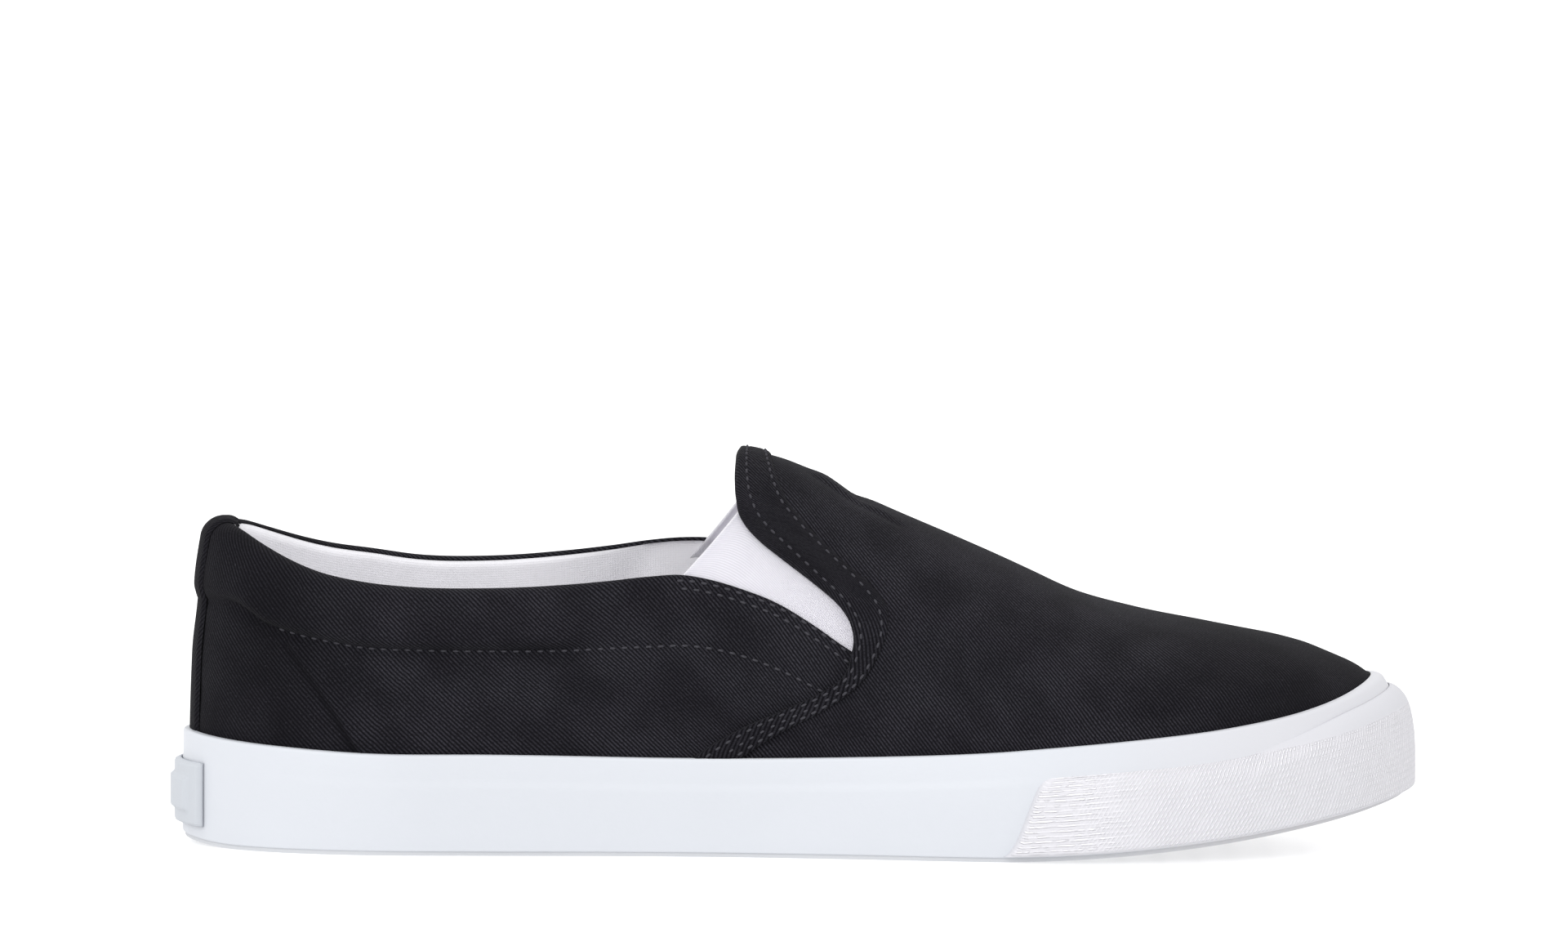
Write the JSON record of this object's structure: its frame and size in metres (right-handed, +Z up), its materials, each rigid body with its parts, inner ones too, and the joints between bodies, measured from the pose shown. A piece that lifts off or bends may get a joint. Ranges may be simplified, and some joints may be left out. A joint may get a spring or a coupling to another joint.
{
  "type": "slip-on sneaker",
  "caption": "Low slip-on canvas sneaker with elastic gores at the throat, a padded collar and a rubber foxing and toe bumper; right shoe, standing empty.",
  "frame": {"origin": "on the floor under the middle of the shoe's box", "axes": "+X towards the toe, -Y towards the outer (lateral) side, +Z up"},
  "size_m": [0.294, 0.1086, 0.0931],
  "materials": {
    "canvas": "matte",
    "elastic": "matte",
    "foxing_rubber": "satin",
    "bumper_rubber": "satin",
    "sole_rubber": "matte",
    "insole_cloth": "matte"
  },
  "bodies": {
    "root": {"outsole": "sole_rubber", "foxing": "foxing_rubber", "toe_bumper": "bumper_rubber", "heel_label": "bumper_rubber", "upper": "canvas", "throat_band": "canvas", "heel_stay": "canvas", "gusset_lateral": "elastic", "gusset_medial": "elastic", "insole": "insole_cloth"}
  },
  "joints": []
}
